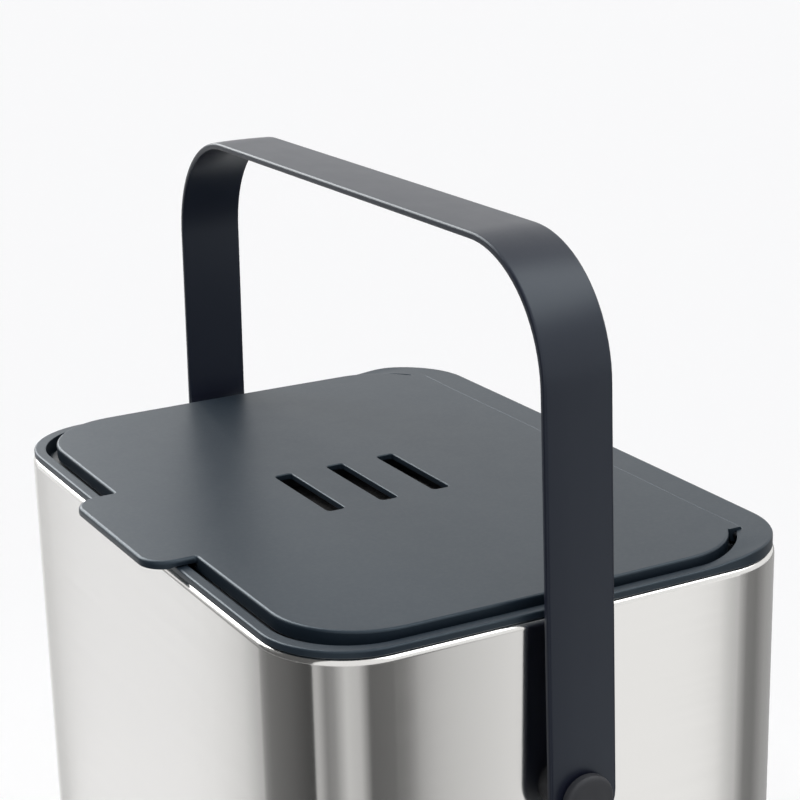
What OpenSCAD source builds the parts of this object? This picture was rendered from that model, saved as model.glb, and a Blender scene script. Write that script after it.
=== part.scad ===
// Compost caddy: a brushed steel sleeve with a moulded rim, a hinged lid with a vented filter,
// a bucket that lifts out, and a flat strap to carry it by.
// Lengths are in millimetres. X runs across the caddy, -Y is the front with the lift tab, +Z is up.
// The origin lies on the worktop under the middle of the footprint, lift tab included.

/* [Steel sleeve] */
// Width of the sleeve between the middles of its sides
body_w = 248; // [216:1:320]
// Depth of the sleeve between the middles of its front and back
body_d = 180; // [150:1:240]
// Radius of the sleeve's upright corners
corner_r = 29; // [26:1:38]
// How far a side wall bows out between its corners
side_bow = 0.9; // [0:0.1:2]
// How far the front and back walls bow out between their corners
front_bow = 0.5; // [0:0.1:2]
// Thickness of the steel sheet
steel_t = 0.8; // [0.6:0.1:1]
// Radius of the roll along the sleeve's top edge
roll_r = 2.2; // [1.8:0.1:2.6]
// Width of the flange turned in along the sleeve's bottom edge
bottom_flange = 12; // [11:0.5:16]

/* [Heights] */
// Height of the closed lid's top above the worktop
lid_top = 192; // [150:1:260]
// How far the lid's top stands above the flat strip of the rim
lid_rise = 2.6; // [2.5:0.1:4]
// Height of the rim's side that shows above the steel
rim_side = 2.4; // [2:0.1:5]
// How far the hinge band's top lies below the lid's top
band_drop = 0.8; // [0.4:0.1:1]
// How far the base pan stands above the worktop on its feet
foot_gap = 2.5; // [1.5:0.1:5]

/* [Rim frame] */
// Distance from the sleeve's outline to the rim's outer edge
rim_inset = 0.6; // [0.2:0.1:0.8]
// Width of the rim's flat strip at the front and sides
strip_w = 3.7; // [3.4:0.1:6]
// Gap between the lid's side edges and the rim
lid_gap = 1.8; // [1.2:0.1:3]
// Gap between the lid's front edge and the rim
front_gap = 3; // [1.5:0.1:4]
// Depth of the recess that the lid and the bucket's flange lie in
recess_h = 5.9; // [5.5:0.1:8]
// Width of the ledge that carries the bucket
ledge_w = 8; // [6:0.5:12]
// Thickness of the ledge and of the skirt below it
rim_wall = 1.6; // [1.2:0.1:2]
// Height of the skirt that hangs inside the steel
skirt_h = 16; // [8:1:30]
// Depth of the hinge band, from the lid's hinge line to the sleeve's back
band_d = 16; // [13:0.5:24]

/* [Lid] */
// Radius of the lid's corners
lid_corner_r = 29; // [24:1:34]
// Thickness of the lid's plate
plate_t = 2.2; // [1.8:0.1:2.3]
// Height of the lid's edge
edge_h = 5; // [4.9:0.1:5.4]
// Thickness of the lid's edge wall
edge_t = 2; // [1.4:0.1:3]
// Radius of the round on the lid's top edge
top_round = 0.9; // [0.4:0.1:1.2]
// Radius of the barrel along the lid's hinged edge
barrel_r = 2.4; // [2.2:0.1:2.6]
// Gap that the barrel turns in
barrel_gap = 0.8; // [0.7:0.1:1.2]
// Width of the lift tab
tab_w = 70; // [40:1:90]
// How far the lift tab reaches past the sleeve
tab_reach = 8.5; // [6:0.1:16]
// Radius of the lift tab's corners
tab_r = 9.5; // [4:0.5:10]
// Thickness of the lift tab's outer lip
tab_lip = 2.8; // [2.4:0.1:5]

/* [Vent slots] */
// Number of vent slots
vent_count = 3; // [1:1:4]
// Length of a vent slot
vent_l = 41.5; // [24:0.5:60]
// Width of a vent slot
vent_w = 6.4; // [5:0.1:9]
// Distance between the slots' middles
vent_pitch = 20; // [14:0.5:24]
// Radius of the slots' corners
vent_r = 1.6; // [0.6:0.1:2.4]
// Distance of the middle slot behind the sleeve's middle
vent_y = -6; // [-16:0.5:0]

/* [Filter] */
// Thickness of the filter pad
pad_t = 6; // [3:0.5:7]
// Depth of the filter housing below the lid's plate
housing_h = 11; // [10:0.5:16]
// Thickness of the housing's walls
housing_wall = 1.6; // [1.2:0.1:2.4]
// Room between the slots and the housing's walls
housing_room = 6; // [4:0.5:9]
// Thickness of the filter cover
cover_t = 1.8; // [1.6:0.1:2.4]
// Number of slots in the filter cover
cover_slots = 6; // [3:1:8]
// Width of a slot in the filter cover
cover_slot_w = 4.6; // [2.5:0.1:5]
// Radius of the cover's hinge pin
cover_pin_r = 0.8; // [0.6:0.1:0.9]
// Radius of a housing screw's shank
housing_screw_r = 1.1; // [0.9:0.1:1.3]

/* [Bucket] */
// Thickness of the bucket's walls
bucket_wall = 1.8; // [1.2:0.1:3]
// Thickness of the bucket's flange
flange_t = 2; // [1.4:0.1:2.2]
// Gap between the bucket and the ledge's inner edge
bucket_gap = 1.6; // [0.5:0.1:3]
// Height of the bucket's underside above the base pan's floor
bucket_lift = 5; // [3:1:12]

/* [Carrying strap] */
// Width of the strap
strap_w = 23.5; // [18:0.5:30]
// Thickness of the strap
strap_t = 2.6; // [2:0.1:4]
// Height of the strap's top above the lid's top
strap_rise = 105; // [90:1:130]
// Distance from the sleeve's side to the strap's outer face at the pivots
strap_reach = 8.8; // [8:0.1:13]
// Outer radius of the strap's two bends
strap_bend_r = 41; // [20:1:60]
// How far each leg leans inwards, in degrees
strap_lean = 1.5; // [0:0.5:3]
// Depth of the pivots below the lid's top
pivot_drop = 62; // [45:1:80]
// Distance of the pivots behind the sleeve's middle
pivot_y = -2.5; // [-10:0.5:10]

/* [Pivots] */
// Radius of the shoulder that the strap turns on
shoulder_r = 3; // [2:0.1:4]
// Radius of the pivot screw's thread
thread_r = 2; // [1.5:0.1:2.2]
// Radius of the pivot screw's head
head_r = 6; // [5:0.1:7]
// Thickness of the pivot screw's head
head_t = 2; // [1.2:0.1:3]
// Radius of the spacer between the strap and the steel
spacer_r = 7.5; // [6:0.1:9]
// Radius of the pivot cap
cap_r = 8.5; // [8:0.1:10.5]
// Thickness of the pivot cap's face
cap_face = 1.4; // [0.8:0.1:2.5]
// Radius of the nut plate inside the sleeve
nut_r = 9; // [7:0.5:11]

/* [Base] */
// Thickness of the base pan's floor
pan_floor = 2; // [1.5:0.1:3]
// Height of the base pan's edge
pan_edge = 5.5; // [5:0.1:12]
// Radius of a rubber foot
foot_r = 7; // [5:0.5:8]
// Distance of the feet and base screws from the sleeve's sides, front and back
foot_inset = 27; // [26:1:40]
// Radius of a base screw's shank
base_screw_r = 1.5; // [1.2:0.1:1.8]

/* [Hinge pins] */
// Radius of the lid's hinge pins
hinge_pin_r = 1; // [0.8:0.1:1.1]
// Length of a hinge pin inside the lid
hinge_pin_in = 16; // [10:1:30]
// Length of a hinge pin inside the rim frame
hinge_pin_out = 9; // [6:0.5:12]

/* [Hidden] */
$fn = 96;

steel_grey = [0.80, 0.79, 0.78];
slate = [0.38, 0.42, 0.44];
dark_slate = [0.20, 0.21, 0.24];
bucket_grey = [0.30, 0.32, 0.34];
charcoal = [0.09, 0.09, 0.10];
rubber_black = [0.07, 0.07, 0.08];
bright_steel = [0.66, 0.66, 0.68];

run_fit = 0.05;   // radial clearance of a pin in its bore
seat_gap = 0.3;   // gap between faces that move past each other
cut = 1;          // how far a cutting solid runs past the face it opens
join = 0.05;      // how far stacked slices run into each other
roll_steps = 6;   // slices that follow the steel's roll
round_steps = 3;  // slices that follow the lid's rounded top edge
corner_steps = 9; // points round a quarter turn of an outline
side_steps = 6;   // points along a bowed side of an outline
far = 400;        // longer than any piece, for solids that only trim others

origin_y = tab_reach / 2;
body_half_w = body_w / 2;
body_half_d = body_d / 2;

pan_z = foot_gap;
shell_z = pan_z + pan_edge;
strip_z = lid_top - lid_rise;
shell_top = strip_z - rim_side;
band_z = lid_top - band_drop;
ledge_z = strip_z - recess_h;

opening_half_w = body_half_w - rim_inset - strip_w;
opening_front = -body_half_d + rim_inset + strip_w;
opening_r = corner_r - rim_inset - strip_w + 2;
skirt_inset = roll_r + seat_gap;

lid_half_w = opening_half_w - lid_gap;
lid_front = opening_front + front_gap;
hinge_y = body_half_d - band_d;
hinge_z = lid_top - barrel_r;
lid_rear = hinge_y + barrel_r;
opening_rear = lid_rear + barrel_gap;

mouth_half_w = opening_half_w - ledge_w;
mouth_front = opening_front + ledge_w;
mouth_rear = hinge_y - barrel_r - ledge_w;
mouth_r = opening_r - ledge_w;
bucket_z = pan_z + pan_floor + bucket_lift;

pivot_z = lid_top - pivot_drop;
strap_top = lid_top + strap_rise;
strap_half = body_half_w + strap_reach;
strap_inner = strap_half - strap_t / cos(strap_lean);
spacer_end = strap_inner - spacer_r * tan(strap_lean) - seat_gap;
head_start = strap_half + cap_r * tan(strap_lean) + seat_gap;
nut_plate_t = 2.5;
nut_boss_r = 4.5;
nut_boss_t = 4;
thread_end = body_half_w - steel_t - nut_plate_t - nut_boss_t;

plate_z = lid_top - plate_t;
housing_z = plate_z - housing_h;
housing_half_x = vent_l / 2 + housing_room;
housing_half_y = vent_pitch * (vent_count - 1) / 2 + vent_w / 2 + housing_room;
cover_z = housing_z - seat_gap - cover_t;
cover_pin_y = vent_y + housing_half_y + housing_wall + 2.4;
cover_pin_z = cover_z + cover_t / 2;
cover_knuckle_r = cover_pin_r + 1;
cover_knuckle_half = 9;
cover_lug_t = 4;
ear_r = 3.4;
ear_t = 1.5;
post_h = 5;
post_r = 3;
ear_x = housing_half_x + housing_wall + post_r + seat_gap;
screw_head_h = 1.2;

barrel_half = lid_side_at(hinge_y - barrel_r);
pin_start = lid_side_at(hinge_y) - hinge_pin_in;
pin_end = opening_side_at(hinge_y) + hinge_pin_out;

foot_x = body_half_w - foot_inset;
foot_y = body_half_d - foot_inset;
socket_depth = 1.5;
boss_t = 2;
base_screw_x = body_half_w * 0.5;
base_screw_y = body_half_d - bottom_flange / 2;

// --- outlines ---

function arc_points(x, y, r, from_angle, to_angle) = [
    for (i = [0 : corner_steps])
        let (a = from_angle + (to_angle - from_angle) * i / corner_steps)
        [x + r * cos(a), y + r * sin(a)]
];

function side_points(p, q) = [for (i = [1 : side_steps - 1]) p + (q - p) * i / side_steps];

// A rounded rectangle as points, with points along its sides so that they can bow.
function plan_points(half_w, front, rear, r) = concat(
    arc_points(half_w - r, front + r, r, -90, 0),
    side_points([half_w, front + r], [half_w, rear - r]),
    arc_points(half_w - r, rear - r, r, 0, 90),
    side_points([half_w - r, rear], [-half_w + r, rear]),
    arc_points(-half_w + r, rear - r, r, 90, 180),
    side_points([-half_w, rear - r], [-half_w, front + r]),
    arc_points(-half_w + r, front + r, r, 180, 270),
    side_points([-half_w + r, front], [half_w - r, front])
);

function bowed(p, half_w, front, rear) =
    let (mid = (front + rear) / 2, half_d = (rear - front) / 2)
    let (u = p.x / half_w, v = (p.y - mid) / half_d)
    [p.x - side_bow * u * v * v, p.y - front_bow * v * u * u];

// The outline with bowed sides that the sleeve, the rim and the lid share.
module plan(half_w, front, rear, r) {
    polygon([for (p = plan_points(half_w, front, rear, r)) bowed(p, half_w, front, rear)]);
}

module body_plan(inset) {
    plan(body_half_w - inset, inset - body_half_d, body_half_d - inset, corner_r - inset);
}

module opening_plan() {
    plan(opening_half_w, opening_front, opening_rear, opening_r);
}

module mouth_plan(inset) {
    plan(mouth_half_w - inset, mouth_front + inset, mouth_rear - inset, mouth_r - inset);
}

module lid_plan(inset) {
    plan(lid_half_w - inset, lid_front + inset, lid_rear - inset, lid_corner_r - inset);
}

// Half width of a rounded outline at the given distance y behind its middle.
function side_at(half_w, rear, r, y) =
    half_w - r + sqrt(max(r * r - pow(max(y - rear + r, 0), 2), 0)) - side_bow;

function lid_side_at(y) = side_at(lid_half_w, lid_rear, lid_corner_r, y);
function opening_side_at(y) = side_at(opening_half_w, opening_rear, opening_r, y);

module rounded_slot(l, w, r) {
    square([l - 2 * r, w], center = true);
    square([l, w - 2 * r], center = true);
    for (sx = [-1, 1])
        for (sy = [-1, 1])
            translate([sx * (l / 2 - r), sy * (w / 2 - r)])
                circle(r, $fn = 32);
}

// --- placing ---

module slab(z0, z1) {
    translate([0, 0, z0])
        linear_extrude(z1 - z0)
            children();
}

module ring(z0, z1) {
    slab(z0, z1)
        difference() {
            children(0);
            children(1);
        }
}

module from_sleeve_middle() {
    translate([0, origin_y, 0])
        children();
}

// A cylinder along X between two distances from the middle.
module rod_x(r, x0, x1) {
    translate([x0, 0, 0])
        rotate([0, 90, 0])
            cylinder(h = x1 - x0, r = r);
}

module at_pivot() {
    translate([0, pivot_y, pivot_z])
        children();
}

module at_hinge() {
    translate([0, hinge_y, hinge_z])
        children();
}

// A profile drawn in Y and Z, carried across the whole width.
module across(half_w) {
    translate([-half_w, 0, 0])
        rotate([90, 0, 90])
            linear_extrude(2 * half_w)
                children();
}

// --- steel sleeve ---

module rolled_edge() {
    step = 90 / roll_steps;
    for (i = [0 : roll_steps - 1]) {
        inset = roll_r * (1 - cos(step * (i + 0.5)));
        z0 = shell_top - roll_r + roll_r * sin(step * i) - join;
        z1 = shell_top - roll_r + roll_r * sin(step * (i + 1));
        inner = i == roll_steps - 1 ? roll_r : min(inset + 1.5 * steel_t, roll_r);
        ring(z0, z1) {
            body_plan(inset);
            body_plan(inner);
        }
    }
}

module outer_shell() {
    color(steel_grey)
        from_sleeve_middle()
            difference() {
                union() {
                    ring(shell_z, shell_top - roll_r) {
                        body_plan(0);
                        body_plan(steel_t);
                    }
                    rolled_edge();
                    ring(shell_z, shell_z + steel_t) {
                        body_plan(0);
                        body_plan(bottom_flange);
                    }
                }
                at_pivot()
                    rod_x(thread_r + run_fit, -far, far);
                at_base_screws()
                    cylinder(h = far, r = base_screw_r + run_fit, center = true);
            }
}

// --- base ---

module at_base_screws() {
    for (sx = [-1, 1])
        for (sy = [-1, 1])
            translate([sx * base_screw_x, sy * base_screw_y, 0])
                children();
}

module at_foot(sx, sy) {
    translate([sx * foot_x, sy * foot_y, 0])
        children();
}

module base_pan() {
    color(dark_slate)
        from_sleeve_middle()
            difference() {
                union() {
                    slab(pan_z, pan_z + pan_floor)
                        body_plan(2 * rim_inset);
                    ring(pan_z, shell_z) {
                        body_plan(2 * rim_inset);
                        body_plan(bottom_flange + rim_wall);
                    }
                    for (sx = [-1, 1])
                        for (sy = [-1, 1])
                            at_foot(sx, sy)
                                slab(pan_z, pan_z + socket_depth + boss_t)
                                    circle(foot_r + boss_t);
                }
                for (sx = [-1, 1])
                    for (sy = [-1, 1])
                        at_foot(sx, sy)
                            slab(0, pan_z + socket_depth)
                                circle(foot_r + seat_gap);
                at_base_screws() {
                    cylinder(h = far, r = base_screw_r + run_fit, center = true);
                    slab(0, pan_z + screw_head_h)
                        circle(2 * base_screw_r + seat_gap);
                }
            }
}

module foot(sx, sy) {
    color(rubber_black)
        from_sleeve_middle()
            at_foot(sx, sy) {
                slab(0, pan_z + socket_depth)
                    circle(foot_r - 0.6);
                slab(0.6, pan_z + socket_depth)
                    circle(foot_r);
            }
}

module foot_front_left() {
    foot(-1, -1);
}

module foot_front_right() {
    foot(1, -1);
}

module foot_rear_left() {
    foot(-1, 1);
}

module foot_rear_right() {
    foot(1, 1);
}

module base_screws() {
    color(bright_steel)
        from_sleeve_middle()
            at_base_screws() {
                slab(pan_z + screw_head_h - 1, pan_z + screw_head_h)
                    circle(2 * base_screw_r);
                slab(pan_z + screw_head_h, shell_z + steel_t + 2)
                    circle(base_screw_r);
            }
}

// --- rim ---

// The strip lies low at the front and sides and climbs round the rear corners to the band.
module rim_side_profile() {
    climb_start = hinge_y - corner_r + 4;
    climb_end = hinge_y - 2;
    polygon([
        [-far, ledge_z - skirt_h - cut],
        [far, ledge_z - skirt_h - cut],
        [far, band_z],
        [climb_end, band_z],
        [climb_start, strip_z],
        [-far, strip_z]
    ]);
}

// Straight room for the lid's barrel, and for its wider part to swing down into.
module swing_pocket() {
    w = barrel_half + seat_gap;
    translate([-w, hinge_y - barrel_r, ledge_z])
        cube([2 * w, opening_rear - hinge_y + barrel_r, lid_top + cut - ledge_z]);
}

module rim_frame() {
    color(slate)
        from_sleeve_middle()
            difference() {
                intersection() {
                    union() {
                        slab(shell_top, band_z)
                            body_plan(rim_inset);
                        slab(ledge_z - skirt_h, shell_top + join)
                            body_plan(skirt_inset);
                    }
                    across(far)
                        rim_side_profile();
                }
                slab(ledge_z, lid_top + cut)
                    opening_plan();
                swing_pocket();
                slab(ledge_z - skirt_h - cut, ledge_z + cut)
                    mouth_plan(0);
                slab(ledge_z - skirt_h - cut, ledge_z - rim_wall)
                    body_plan(skirt_inset + rim_wall);
                at_hinge()
                    for (s = [-1, 1])
                        mirror([s < 0 ? 1 : 0, 0, 0])
                            rod_x(hinge_pin_r + run_fit, 0, pin_end);
            }
}

// --- bucket ---

module inner_bucket() {
    color(bucket_grey)
        from_sleeve_middle() {
            slab(bucket_z, bucket_z + bucket_wall)
                mouth_plan(bucket_gap);
            ring(bucket_z, ledge_z + flange_t) {
                mouth_plan(bucket_gap);
                mouth_plan(bucket_gap + bucket_wall);
            }
            ring(ledge_z, ledge_z + flange_t) {
                mouth_plan(bucket_gap - ledge_w);
                mouth_plan(bucket_gap + bucket_wall);
            }
        }
}

// --- lid ---

module tab_profile() {
    lip_start = -body_half_d - seat_gap;
    tab_front = -body_half_d - tab_reach;
    polygon([
        [tab_front, lid_top],
        [tab_front, lid_top - tab_lip],
        [lip_start - 1.2, lid_top - tab_lip],
        [lip_start, strip_z + seat_gap],
        [lid_front + lid_corner_r, strip_z + seat_gap],
        [lid_front + lid_corner_r, lid_top]
    ]);
}

module lift_tab() {
    tab_front = -body_half_d - tab_reach;
    intersection() {
        across(tab_w / 2)
            tab_profile();
        slab(lid_top - edge_h - tab_lip, lid_top)
            union() {
                translate([-tab_w / 2 + tab_r, tab_front])
                    square([tab_w - 2 * tab_r, far]);
                translate([-tab_w / 2, tab_front + tab_r])
                    square([tab_w, lid_front + edge_t - tab_front - tab_r]);
                for (s = [-1, 1])
                    translate([s * (tab_w / 2 - tab_r), tab_front + tab_r])
                        circle(tab_r);
            }
        translate([-far, tab_front, 0])
            cube([2 * far, lid_front + edge_t - tab_front, far]);
    }
}

module lid_plate() {
    slab(plate_z, lid_top - top_round)
        lid_plan(0);
    step = 90 / round_steps;
    for (i = [0 : round_steps - 1]) {
        z0 = lid_top - top_round * (1 - sin(step * i));
        z1 = lid_top - top_round * (1 - sin(step * (i + 1)));
        slab(z0, z1)
            lid_plan(top_round * (1 - cos(step * (i + 0.5))));
    }
    ring(lid_top - edge_h, plate_z) {
        lid_plan(0);
        lid_plan(edge_t);
    }
}

// The plate ends at the hinge line, where the barrel takes its place.
module lid_body() {
    intersection() {
        lid_plate();
        translate([-far, -far, 0])
            cube([2 * far, far + hinge_y, far]);
    }
    at_hinge()
        rod_x(barrel_r, -barrel_half, barrel_half);
    lift_tab();
    at_ears()
        slab(plate_z - post_h, plate_z)
            circle(post_r);
}

module at_vents() {
    for (i = [0 : vent_count - 1])
        translate([0, vent_y + vent_pitch * (i - (vent_count - 1) / 2), 0])
            children();
}

module lid() {
    color(slate)
        from_sleeve_middle()
            difference() {
                lid_body();
                at_vents()
                    slab(plate_z - cut, lid_top + cut)
                        rounded_slot(vent_l, vent_w, vent_r);
                at_hinge()
                    for (s = [-1, 1])
                        mirror([s < 0 ? 1 : 0, 0, 0])
                            rod_x(hinge_pin_r + run_fit, pin_start, far);
                at_ears()
                    slab(plate_z - post_h - cut, plate_z)
                        circle(housing_screw_r + run_fit);
            }
}

module hinge_pin() {
    at_hinge()
        rod_x(hinge_pin_r, pin_start + seat_gap, pin_end);
}

module hinge_pin_left() {
    color(bright_steel)
        from_sleeve_middle()
            mirror([1, 0, 0])
                hinge_pin();
}

module hinge_pin_right() {
    color(bright_steel)
        from_sleeve_middle()
            hinge_pin();
}

// --- filter ---

module at_ears() {
    for (sx = [-1, 1])
        for (sy = [-1, 1])
            translate([
                sx * ear_x,
                vent_y + sy * (housing_half_y - ear_r),
                0
            ])
                children();
}

module at_cover_pin() {
    translate([0, cover_pin_y, cover_pin_z])
        children();
}

module housing_plan(grow) {
    translate([0, vent_y])
        rounded_slot(2 * (housing_half_x + grow), 2 * (housing_half_y + grow), 3);
}

module cover_lug() {
    wall_y = vent_y + housing_half_y + housing_wall;
    translate([cover_knuckle_half + seat_gap, 0, 0]) {
        at_cover_pin()
            rod_x(cover_knuckle_r, 0, cover_lug_t);
        translate([0, wall_y - housing_wall, cover_pin_z])
            cube([cover_lug_t, cover_pin_y + cover_knuckle_r - wall_y + housing_wall, post_h]);
    }
}

module filter_housing() {
    color(dark_slate)
        from_sleeve_middle()
            difference() {
                union() {
                    ring(housing_z, plate_z) {
                        housing_plan(housing_wall);
                        housing_plan(0);
                    }
                    ring(plate_z - post_h - ear_t, plate_z - post_h) {
                        translate([0, vent_y])
                            rounded_slot(2 * (ear_x + ear_r), 2 * housing_half_y, ear_r);
                        housing_plan(housing_wall / 2);
                    }
                    for (s = [0, 1])
                        mirror([s, 0, 0])
                            difference() {
                                cover_lug();
                                translate([0, 0, cover_z - cut])
                                    linear_extrude(cover_t + seat_gap + cut)
                                        housing_plan(housing_wall + seat_gap);
                            }
                }
                at_cover_pin()
                    rod_x(cover_pin_r + run_fit / 2, -far, far);
                at_ears()
                    slab(plate_z - far, plate_z)
                        circle(housing_screw_r + run_fit);
            }
}

module housing_screws() {
    color(bright_steel)
        from_sleeve_middle()
            at_ears() {
                slab(plate_z - post_h - ear_t, plate_z - 1)
                    circle(housing_screw_r);
                slab(plate_z - post_h - ear_t - screw_head_h, plate_z - post_h - ear_t)
                    circle(2 * housing_screw_r);
            }
}

module filter_pad() {
    color(charcoal)
        from_sleeve_middle()
            slab(housing_z + seat_gap, housing_z + seat_gap + pad_t)
                housing_plan(-seat_gap);
}

module filter_cover() {
    plan_y = 2 * (housing_half_y + housing_wall);
    slot_pitch = plan_y / (cover_slots + 1);
    color(dark_slate)
        from_sleeve_middle()
            difference() {
                union() {
                    slab(cover_z, cover_z + cover_t)
                        housing_plan(housing_wall);
                    at_cover_pin()
                        rod_x(cover_knuckle_r, -cover_knuckle_half, cover_knuckle_half);
                    translate([-cover_knuckle_half, cover_pin_y - 4, cover_z])
                        cube([2 * cover_knuckle_half, 4, cover_t]);
                    translate([-tab_r, vent_y - housing_half_y - housing_wall - 2.5, cover_z])
                        cube([2 * tab_r, 4, cover_t]);
                }
                for (i = [1 : cover_slots])
                    translate([0, vent_y - plan_y / 2 + slot_pitch * i, 0])
                        slab(cover_z - cut, cover_z + cover_t + cut)
                            rounded_slot(vent_l, cover_slot_w, 1);
                at_cover_pin()
                    rod_x(cover_pin_r + run_fit, -far, far);
            }
}

module filter_cover_pin() {
    lug_end = cover_knuckle_half + seat_gap + cover_lug_t;
    color(bright_steel)
        from_sleeve_middle()
            at_cover_pin()
                rod_x(cover_pin_r, -lug_end, lug_end);
}

// --- carrying strap ---

// One edge of the strap's side view, from the right leg's end over the top to the left leg's.
function strap_edge(inset) =
    let (r = strap_bend_r - inset, bend_z = strap_top - strap_bend_r)
    let (tangent_z = bend_z + strap_bend_r * sin(strap_lean) - pivot_z)
    let (bend_x = strap_half - tangent_z * tan(strap_lean) - strap_bend_r * cos(strap_lean))
    let (end_z = pivot_z - strap_w)
    let (end_x = strap_half + strap_w * tan(strap_lean) - inset / cos(strap_lean))
    let (bend = arc_points(bend_x, bend_z, r, strap_lean, 90))
    let (right = concat([[end_x, end_z]], bend))
    concat(right, [for (i = [len(right) - 1 : -1 : 0]) [-right[i].x, right[i].y]]);

module strap_side_view() {
    outer = strap_edge(0);
    inner = strap_edge(strap_t);
    polygon(concat(outer, [for (i = [len(inner) - 1 : -1 : 0]) inner[i]]));
}

module handle_strap() {
    color(dark_slate)
        from_sleeve_middle()
            translate([0, pivot_y, 0])
                difference() {
                    intersection() {
                        rotate([90, 0, 0])
                            linear_extrude(strap_w, center = true)
                                strap_side_view();
                        union() {
                            translate([-far, -strap_w, pivot_z])
                                cube([2 * far, 2 * strap_w, far]);
                            translate([0, 0, pivot_z])
                                rod_x(strap_w / 2, -far, far);
                        }
                    }
                    translate([0, 0, pivot_z])
                        rod_x(shoulder_r + run_fit, -far, far);
                }
}

// --- pivots, modelled on the right and mirrored for the left ---

module pivot_spacer() {
    color(dark_slate)
        from_sleeve_middle()
            at_pivot()
                difference() {
                    rod_x(spacer_r, body_half_w, spacer_end);
                    rod_x(shoulder_r + run_fit, body_half_w - cut, spacer_end + cut);
                }
}

module pivot_screw() {
    color(bright_steel)
        from_sleeve_middle()
            at_pivot() {
                rod_x(thread_r, thread_end, head_start + head_t);
                rod_x(shoulder_r, body_half_w, head_start + head_t);
                rod_x(head_r, head_start, head_start + head_t);
            }
}

module pivot_cap() {
    color(dark_slate)
        from_sleeve_middle()
            at_pivot()
                difference() {
                    union() {
                        rod_x(cap_r, head_start, head_start + head_t + cap_face / 2);
                        rod_x(cap_r - 1, head_start, head_start + head_t + cap_face);
                    }
                    rod_x(head_r + run_fit, head_start - cut, head_start + head_t);
                }
}

module pivot_nut() {
    inner_face = body_half_w - steel_t;
    color(bright_steel)
        from_sleeve_middle()
            at_pivot()
                difference() {
                    union() {
                        rod_x(nut_r, inner_face - nut_plate_t, inner_face - run_fit);
                        rod_x(nut_boss_r, thread_end, inner_face - nut_plate_t);
                    }
                    rod_x(thread_r + run_fit / 2, thread_end - cut, inner_face + cut);
                }
}

module pivot_spacer_left() {
    mirror([1, 0, 0])
        pivot_spacer();
}

module pivot_spacer_right() {
    pivot_spacer();
}

module pivot_screw_left() {
    mirror([1, 0, 0])
        pivot_screw();
}

module pivot_screw_right() {
    pivot_screw();
}

module pivot_cap_left() {
    mirror([1, 0, 0])
        pivot_cap();
}

module pivot_cap_right() {
    pivot_cap();
}

module pivot_nut_left() {
    mirror([1, 0, 0])
        pivot_nut();
}

module pivot_nut_right() {
    pivot_nut();
}

outer_shell();
base_pan();
foot_front_left();
foot_front_right();
foot_rear_left();
foot_rear_right();
base_screws();
rim_frame();
inner_bucket();
lid();
hinge_pin_left();
hinge_pin_right();
filter_housing();
housing_screws();
filter_pad();
filter_cover();
filter_cover_pin();
handle_strap();
pivot_spacer_left();
pivot_spacer_right();
pivot_screw_left();
pivot_screw_right();
pivot_cap_left();
pivot_cap_right();
pivot_nut_left();
pivot_nut_right();
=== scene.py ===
import math

import bmesh
import bpy
from mathutils import Matrix, Vector, noise


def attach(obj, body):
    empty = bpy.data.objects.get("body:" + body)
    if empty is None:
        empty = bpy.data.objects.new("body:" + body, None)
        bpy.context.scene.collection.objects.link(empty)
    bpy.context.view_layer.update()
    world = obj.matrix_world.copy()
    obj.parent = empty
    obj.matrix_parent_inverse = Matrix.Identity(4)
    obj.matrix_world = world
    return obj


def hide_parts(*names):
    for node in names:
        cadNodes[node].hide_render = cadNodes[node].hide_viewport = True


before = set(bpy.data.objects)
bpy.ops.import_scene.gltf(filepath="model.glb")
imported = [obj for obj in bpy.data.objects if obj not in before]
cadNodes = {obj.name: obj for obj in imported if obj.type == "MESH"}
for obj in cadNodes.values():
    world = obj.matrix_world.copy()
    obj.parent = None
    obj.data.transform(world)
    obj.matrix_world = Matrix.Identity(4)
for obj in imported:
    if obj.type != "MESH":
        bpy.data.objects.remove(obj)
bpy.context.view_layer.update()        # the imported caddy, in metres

scene = bpy.context.scene
mm = 0.001
print("frame loaded:", len(cadNodes), "solids")

# Sizes below are in millimetres, and y is measured from the sleeve's middle.
sleeveMiddleY = 4.25


def place(x, y, z):
    return Vector((x, y + sleeveMiddleY, z)) * mm


def clampShare(value, low, high):
    return min(max((value - low) / (high - low), 0), 1)


def smoothStep(value, low, high):
    t = clampShare(value, low, high)
    return t * t * (3 - 2 * t)


def between(a, b, share):
    return a + (b - a) * share


def direction(azimuth, elevation):
    # a unit vector from degrees: azimuth 0 looks out of the front, 90 out of the right side
    a, e = math.radians(azimuth), math.radians(elevation)
    return Vector((math.sin(a) * math.cos(e), -math.cos(a) * math.cos(e), math.sin(e)))


def arcProfile(radius, start, end, steps):
    # (inset, height) pairs round a bend, measured from the bend's middle
    for i in range(steps + 1):
        angle = math.radians(start + (end - start) * i / steps)
        yield -radius * math.cos(angle), radius * math.sin(angle)


def roundOver(radius, steps):
    # (inset, drop) pairs over a rounded edge, from its flat top outwards
    for i in range(steps + 1):
        angle = math.radians(90 * i / steps)
        yield radius * (1 - math.sin(angle)), radius * (1 - math.cos(angle))


def roundedPoints(halfX, halfY, corner, steps, grow=0.0):
    # a rectangle with rounded corners, offset outwards by grow
    points = []
    for part in range(4):
        x = (halfX - corner) * (1 if part in (0, 3) else -1)
        y = (halfY - corner) * (1 if part < 2 else -1)
        for i in range(steps + 1):
            angle = math.radians(90 * part + 90 * i / steps)
            points.append((x + (corner + grow) * math.cos(angle),
                           y + (corner + grow) * math.sin(angle)))
    return points


# Outlines shared by the sleeve, the rim, the lid and the bucket

outline = {"sideBow": 0.9, "frontBow": 0.5, "cornerSteps": 18, "sideSteps": 16}


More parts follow.
